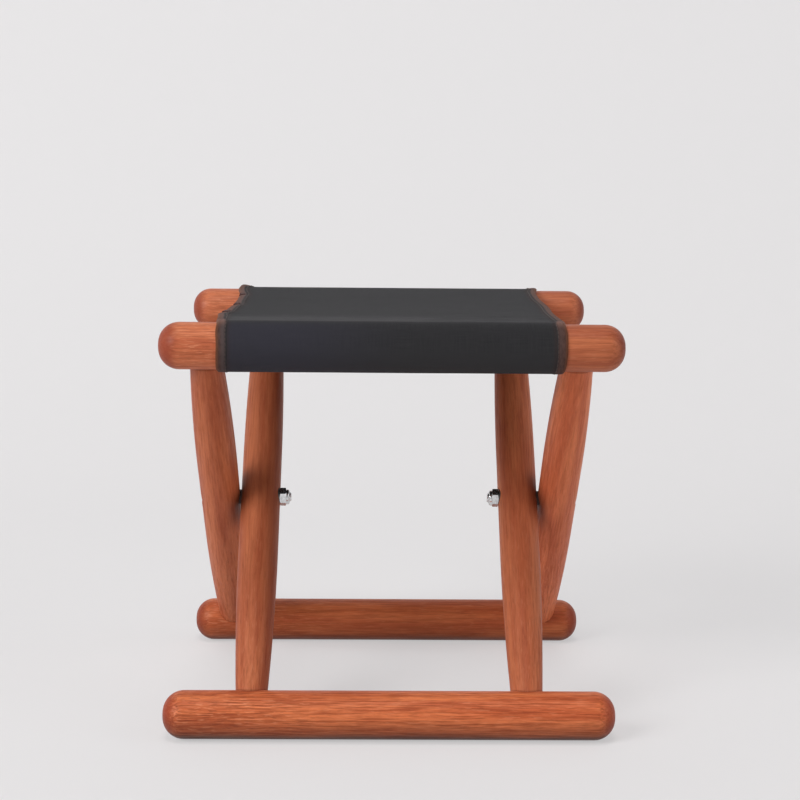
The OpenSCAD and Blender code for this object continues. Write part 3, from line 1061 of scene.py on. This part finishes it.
# depths are measured inwards from the tape's outer edge, reaches from a rail's top line
tapeLook = {
    "colour": (0.118, 0.059, 0.046),
    "dark": (0.048, 0.024, 0.019),
    "rim": (0.165, 0.062, 0.030),  # the outermost fold
    "wornHighlight": (0.270, 0.142, 0.112),  # worn, and a painted highlight, where it turns over a rail, and less along its top
    "blended": (0.090, 0.069, 0.069),  # its inner side
    "rib": 0.0008,
    "finePitch": 0.6,  # pitch of the finer ribs across it, against the others
    "ribHeights": (0.6, 0.4),
    "slubNoise": ((900, 240, 1), 3.0, 0.6),
    "slubbed": (0.3, 0.7, 0.0, 0.7),
    "grooves": (-1.0, 0.2, 0.4, 0.0),
    "inner": (0.0015, 0.0045),
    "innerSides": (0.8, 0.3),  # left and right
    "rimDepth": (0.0004, 0.0020, 0.8, 0.0),
    "turnPast": 0.001,
    "turnReach": (0.001, 0.010, 0.75, 0.0),
    "top": (-0.012, 0.002),
    "topSides": (0.42, 0.24),  # left and right; stronger on the left, where the painted highlight is brighter
    "patches": (0.2, 0.6),
    # where it fades into the canvas, first where it hangs and then on top of the seat
    "fadeStart": (0.0046, 0.0034),
    "fadeOver": (0.0022, 0.0012),
    "fadeShare": 0.9,
    "roughness": (0.68, 0.84),
    "bump": (0.4, 0.00010),
    "gloss": 0.12,
    "sheen": 0.02,
    "sheenRough": 0.5,
    "sheenTint": (1.0, 0.86, 0.84, 1),
}


def leftToRight(across, sides):
    return between(across, -0.01, 0.01, *sides)


def markedTape(across, along, slub, colour):
    # a browner rim, a rubbed turn over each rail, and an inner side that fades into the canvas,
    # nearer the rim on top of the seat
    look = tapeLook
    depth = minus(sizeOf(across), tapeBand["mapStart"])
    reach = sizeOf(along)
    inner = between(depth, *look["inner"])
    inner = times(inner, leftToRight(across, look["innerSides"]))
    colour = blendColours(inner, colour, look["blended"])
    colour = blendColours(between(depth, *look["rimDepth"]), colour, look["rim"])
    # the rubbed turn and top are worn, and partly a painted highlight
    turned = sizeOf(minus(reach, halfSpread + look["turnPast"]))
    start, stop = (halfSpread + place for place in look["top"])
    onTop = between(reach, start, stop, 1.0, 0.0)
    wornHighlightTop = times(onTop, leftToRight(across, look["topSides"]))
    wornHighlight = calc("MAXIMUM", between(turned, *look["turnReach"]), wornHighlightTop)
    wornHighlight = times(wornHighlight, between(slub, *look["patches"]))
    colour = blendColours(wornHighlight, colour, look["wornHighlight"])
    past = minus(depth, between(onTop, 0.0, 1.0, *look["fadeStart"]))
    fade = calc("DIVIDE", past, between(onTop, 0.0, 1.0, *look["fadeOver"]))
    fade = between(fade, 0.0, 1.0, 0.0, look["fadeShare"])
    return blendColours(fade, colour, canvasLook["cloth"])


def tapeWeave():
    look = tapeLook
    material, tree, shader = newMaterial("brown_edge_tape")
    place = clothPlace(tree)
    across, along = split(place)[:2]
    rib = calc("SINE", times(along, 2 * math.pi / look["rib"]))
    fine = calc("SINE", times(across, 2 * math.pi / (look["finePitch"] * look["rib"])))
    high, low = look["ribHeights"]
    cloth = calc("MULTIPLY_ADD", rib, high, times(fine, low))
    slub = noiseOf(place, *look["slubNoise"])
    colour = blendColours(between(slub, *look["slubbed"]), look["colour"], look["dark"])
    colour = blendColours(between(cloth, *look["grooves"]), colour, look["dark"])
    colour = markedTape(across, along, slub, colour)
    roughness = between(slub, 0.3, 0.7, *look["roughness"])
    setSurface(shader, colour, roughness, calc("ADD", cloth, slub), look["bump"])
    setSheen(shader, look)
    return material


threadLook = {
    "twistNoise": ((1500, 3200, 1500), 2.0, 0.6, 0.4),
    "twistDark": 0.45,
    "roughness": (0.55, 0.75),
    "bump": (0.5, 0.00006),
    "sheen": 0.1,
}


def sewingThread(name, colour):
    look = threadLook
    material, tree, shader = newMaterial(name)
    twist = noiseOf(objectPlace(tree), *look["twistNoise"])
    dark = darker(colour, look["twistDark"])
    twisted = blendColours(between(twist, 0.3, 0.7), colour, dark)
    roughness = between(twist, 0.3, 0.7, *look["roughness"])
    setSurface(shader, twisted, roughness, twist, look["bump"])
    shader.inputs["Sheen Weight"].default_value = look["sheen"]
    return material


canvasMaterial, tapeMaterial = canvasWeave(), tapeWeave()
stitchMaterial = sewingThread("brown_stitch_thread", stitching["colour"])
tieMaterial = sewingThread("dark_red_tie_thread", edgeTies["colour"])


def follow(piece, part, halfBody):
    # wraps are fixed in place round the rails; panels hang from their half of the seat
    if part == "wrap":
        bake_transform(piece)
    else:
        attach(piece, halfBody)
        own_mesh(piece)


def sewPart(end, part, halfBody):
    place = "front" if end < 0 else "rear"
    label = place + "_" + part
    cloth = clothPiece("seat_canvas_" + label, end, part, canvasMaterial)
    tape = tapePiece("edge_tape_" + label, end, part, tapeMaterial)
    extras = [tape, stitchPiece("tape_stitches_" + label, end, part, stitchMaterial)]
    if part == "panel":
        extras.append(tiePiece("edge_ties_" + label, end, tieMaterial))
    for piece in [cloth] + extras:
        follow(piece, part, halfBody)
    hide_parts("canvas_" + label)
    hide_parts("tape_" + label)
    first, last = pieceSpan(part)
    length = last - first
    if part == "wrap":
        length += midRadius * math.radians(seatCloth["tailTurn"] - seatCloth["fullTurn"])


sewPart(-1, "wrap", "front_seat_half")
sewPart(-1, "panel", "front_seat_half")
sewPart(1, "panel", "rear_seat_half")
sewPart(1, "wrap", "rear_seat_half")
print("seat sewn")

# studio: a pale paper sweep, one large soft lamp at the front left, a weaker one at the right
studio = {
    "paper": (0.800, 0.790, 0.795),
    "paperTooth": ((40, 40, 40), 3.0),
    "paperOwn": (0.915, 0.903, 0.910),  # what the paper shows besides the light that falls on it
    "lightShare": 0.50,  # how much of the paper's look comes from the light and shade on it
    "paperBounce": (0.68, 0.66, 0.66),
    "turnY": 0.55,  # where the floor starts to turn up behind the stool
    "turnX": 4.1,  # and at its sides
    "corner": 1.2,
    "cornerSteps": 12,
    "radius": 0.9,
    "curveSteps": 24,
    "overlap": 0.05,  # the floor's flat rim
    "front": -9.0,
    "top": 5.0,
    "skySides": 0.22,
    "skyFront": 0.55,
    "skyTop": 0.08,
    "skyTurn": (-0.9, 0.1),  # from the front of the stool to its sides and behind
    "skyRise": (0.1, 0.8),  # from low down to overhead
    "aim": (0, 0, 0.15),
}


def paperMaterial():
    s = studio
    material, tree, shader = newMaterial("paper_sweep")
    tooth = noiseOf(objectPlace(tree), *s["paperTooth"])
    grey = darker(s["paper"], 0.985)
    wire(shader.inputs["Base Color"], blendColours(tooth, s["paper"], grey))
    shader.inputs["Roughness"].default_value = 0.9
    shader.inputs["Specular IOR Level"].default_value = 0.05
    own = tree.nodes.new("ShaderNodeEmission")
    own.inputs[0].default_value = (*s["paperOwn"], 1)
    own.inputs[1].default_value = 1.0
    seen = newNode("MixShader", s["lightShare"], own.outputs[0], shader.outputs[0])
    bounce = tree.nodes.new("ShaderNodeBsdfDiffuse")
    bounce.inputs[0].default_value = (*s["paperBounce"], 1)
    ray = tree.nodes.new("ShaderNodeLightPath").outputs
    looked = calc("MAXIMUM", ray["Is Camera Ray"], ray["Is Glossy Ray"])
    looked = calc("MAXIMUM", looked, ray["Is Transmission Ray"])
    choice = newNode("MixShader", looked, bounce.outputs[0], seen.outputs[0])
    output = next(n for n in tree.nodes if n.bl_idname == "ShaderNodeOutputMaterial")
    wire(output.inputs[0], choice.outputs[0])
    return material


def floorOutline():
    # the flat floor from front left round the back to front right: places, and the way each faces
    s = studio
    places = [(-s["turnX"], s["front"], -1.0, 0.0)]
    for side, start in ((-1, 180), (1, 90)):
        for k in range(s["cornerSteps"] + 1):
            turn = math.radians(start - 90 * k / s["cornerSteps"])
            outX, outY = math.cos(turn), math.sin(turn)
            x = side * (s["turnX"] - s["corner"]) + s["corner"] * outX
            places.append((x, s["turnY"] - s["corner"] + s["corner"] * outY, outX, outY))
    places.append((s["turnX"], s["front"], 1.0, 0.0))
    return places


def buildSweep():
    # flat floor, turned up behind the stool and at both sides
    s = studio
    outline = floorOutline()
    levels = [(-s["overlap"], 0.0)]  # how far out, how far up
    for k in range(s["curveSteps"] + 1):
        turn = math.pi / 2 * k / s["curveSteps"]
        levels.append((s["radius"] * math.sin(turn), s["radius"] * (1 - math.cos(turn))))
    levels.append((s["radius"], s["top"]))
    points = []
    for out, up in levels:
        points += [(x + out * outX, y + out * outY, up) for x, y, outX, outY in outline]
    count = len(outline)
    faces = [tuple(reversed(range(count)))]
    for r in range(len(levels) - 1):
        for k in range(count - 1):
            a = r * count + k
            faces.append((a, a + 1, a + 1 + count, a + count))
    meshPiece("studio_sweep", points, faces, paperMaterial())


studioLamps = {
    "key_left": {"place": (-2.85, -2.40, 2.30), "size": 2.0, "power": 96.0},
    "over_front": {"place": (-0.20, -1.30, 4.20), "size": 1.3, "power": 40.0},
    "fill_right": {"place": (3.66, -1.33, 1.97), "size": 2.0, "power": 26.0},
}


def softbox(name, lamp):
    data = bpy.data.lights.new(name, "AREA")
    data.shape, data.size, data.size_y = "RECTANGLE", lamp["size"], lamp["size"]
    data.energy = lamp["power"]
    made = bpy.data.objects.new(name, data)
    scene.collection.objects.link(made)
    made.location = lamp["place"]
    aim = Vector(studio["aim"]) - Vector(lamp["place"])
    made.rotation_euler = aim.to_track_quat("-Z", "Y").to_euler()


def roomLight():
    # dim all round, brighter behind the camera, dimmer overhead
    world = bpy.data.worlds.new("dim_room")
    world.use_nodes = True
    tree = world.node_tree
    sky = tree.nodes["Background"]
    back, high = split(tree.nodes.new("ShaderNodeTexCoord").outputs["Generated"])[1:]
    low = between(back, *studio["skyTurn"], studio["skyFront"], studio["skySides"])
    strength = between(high, *studio["skyRise"], low, studio["skyTop"])
    wire(sky.inputs["Strength"], strength)
    sky.inputs["Color"].default_value = (1.0, 1.0, 1.0, 1)
    scene.world = world


buildSweep()
for name, lamp in studioLamps.items():
    softbox(name, lamp)
roomLight()
scene.view_settings.view_transform = "Standard"
print("studio lit")
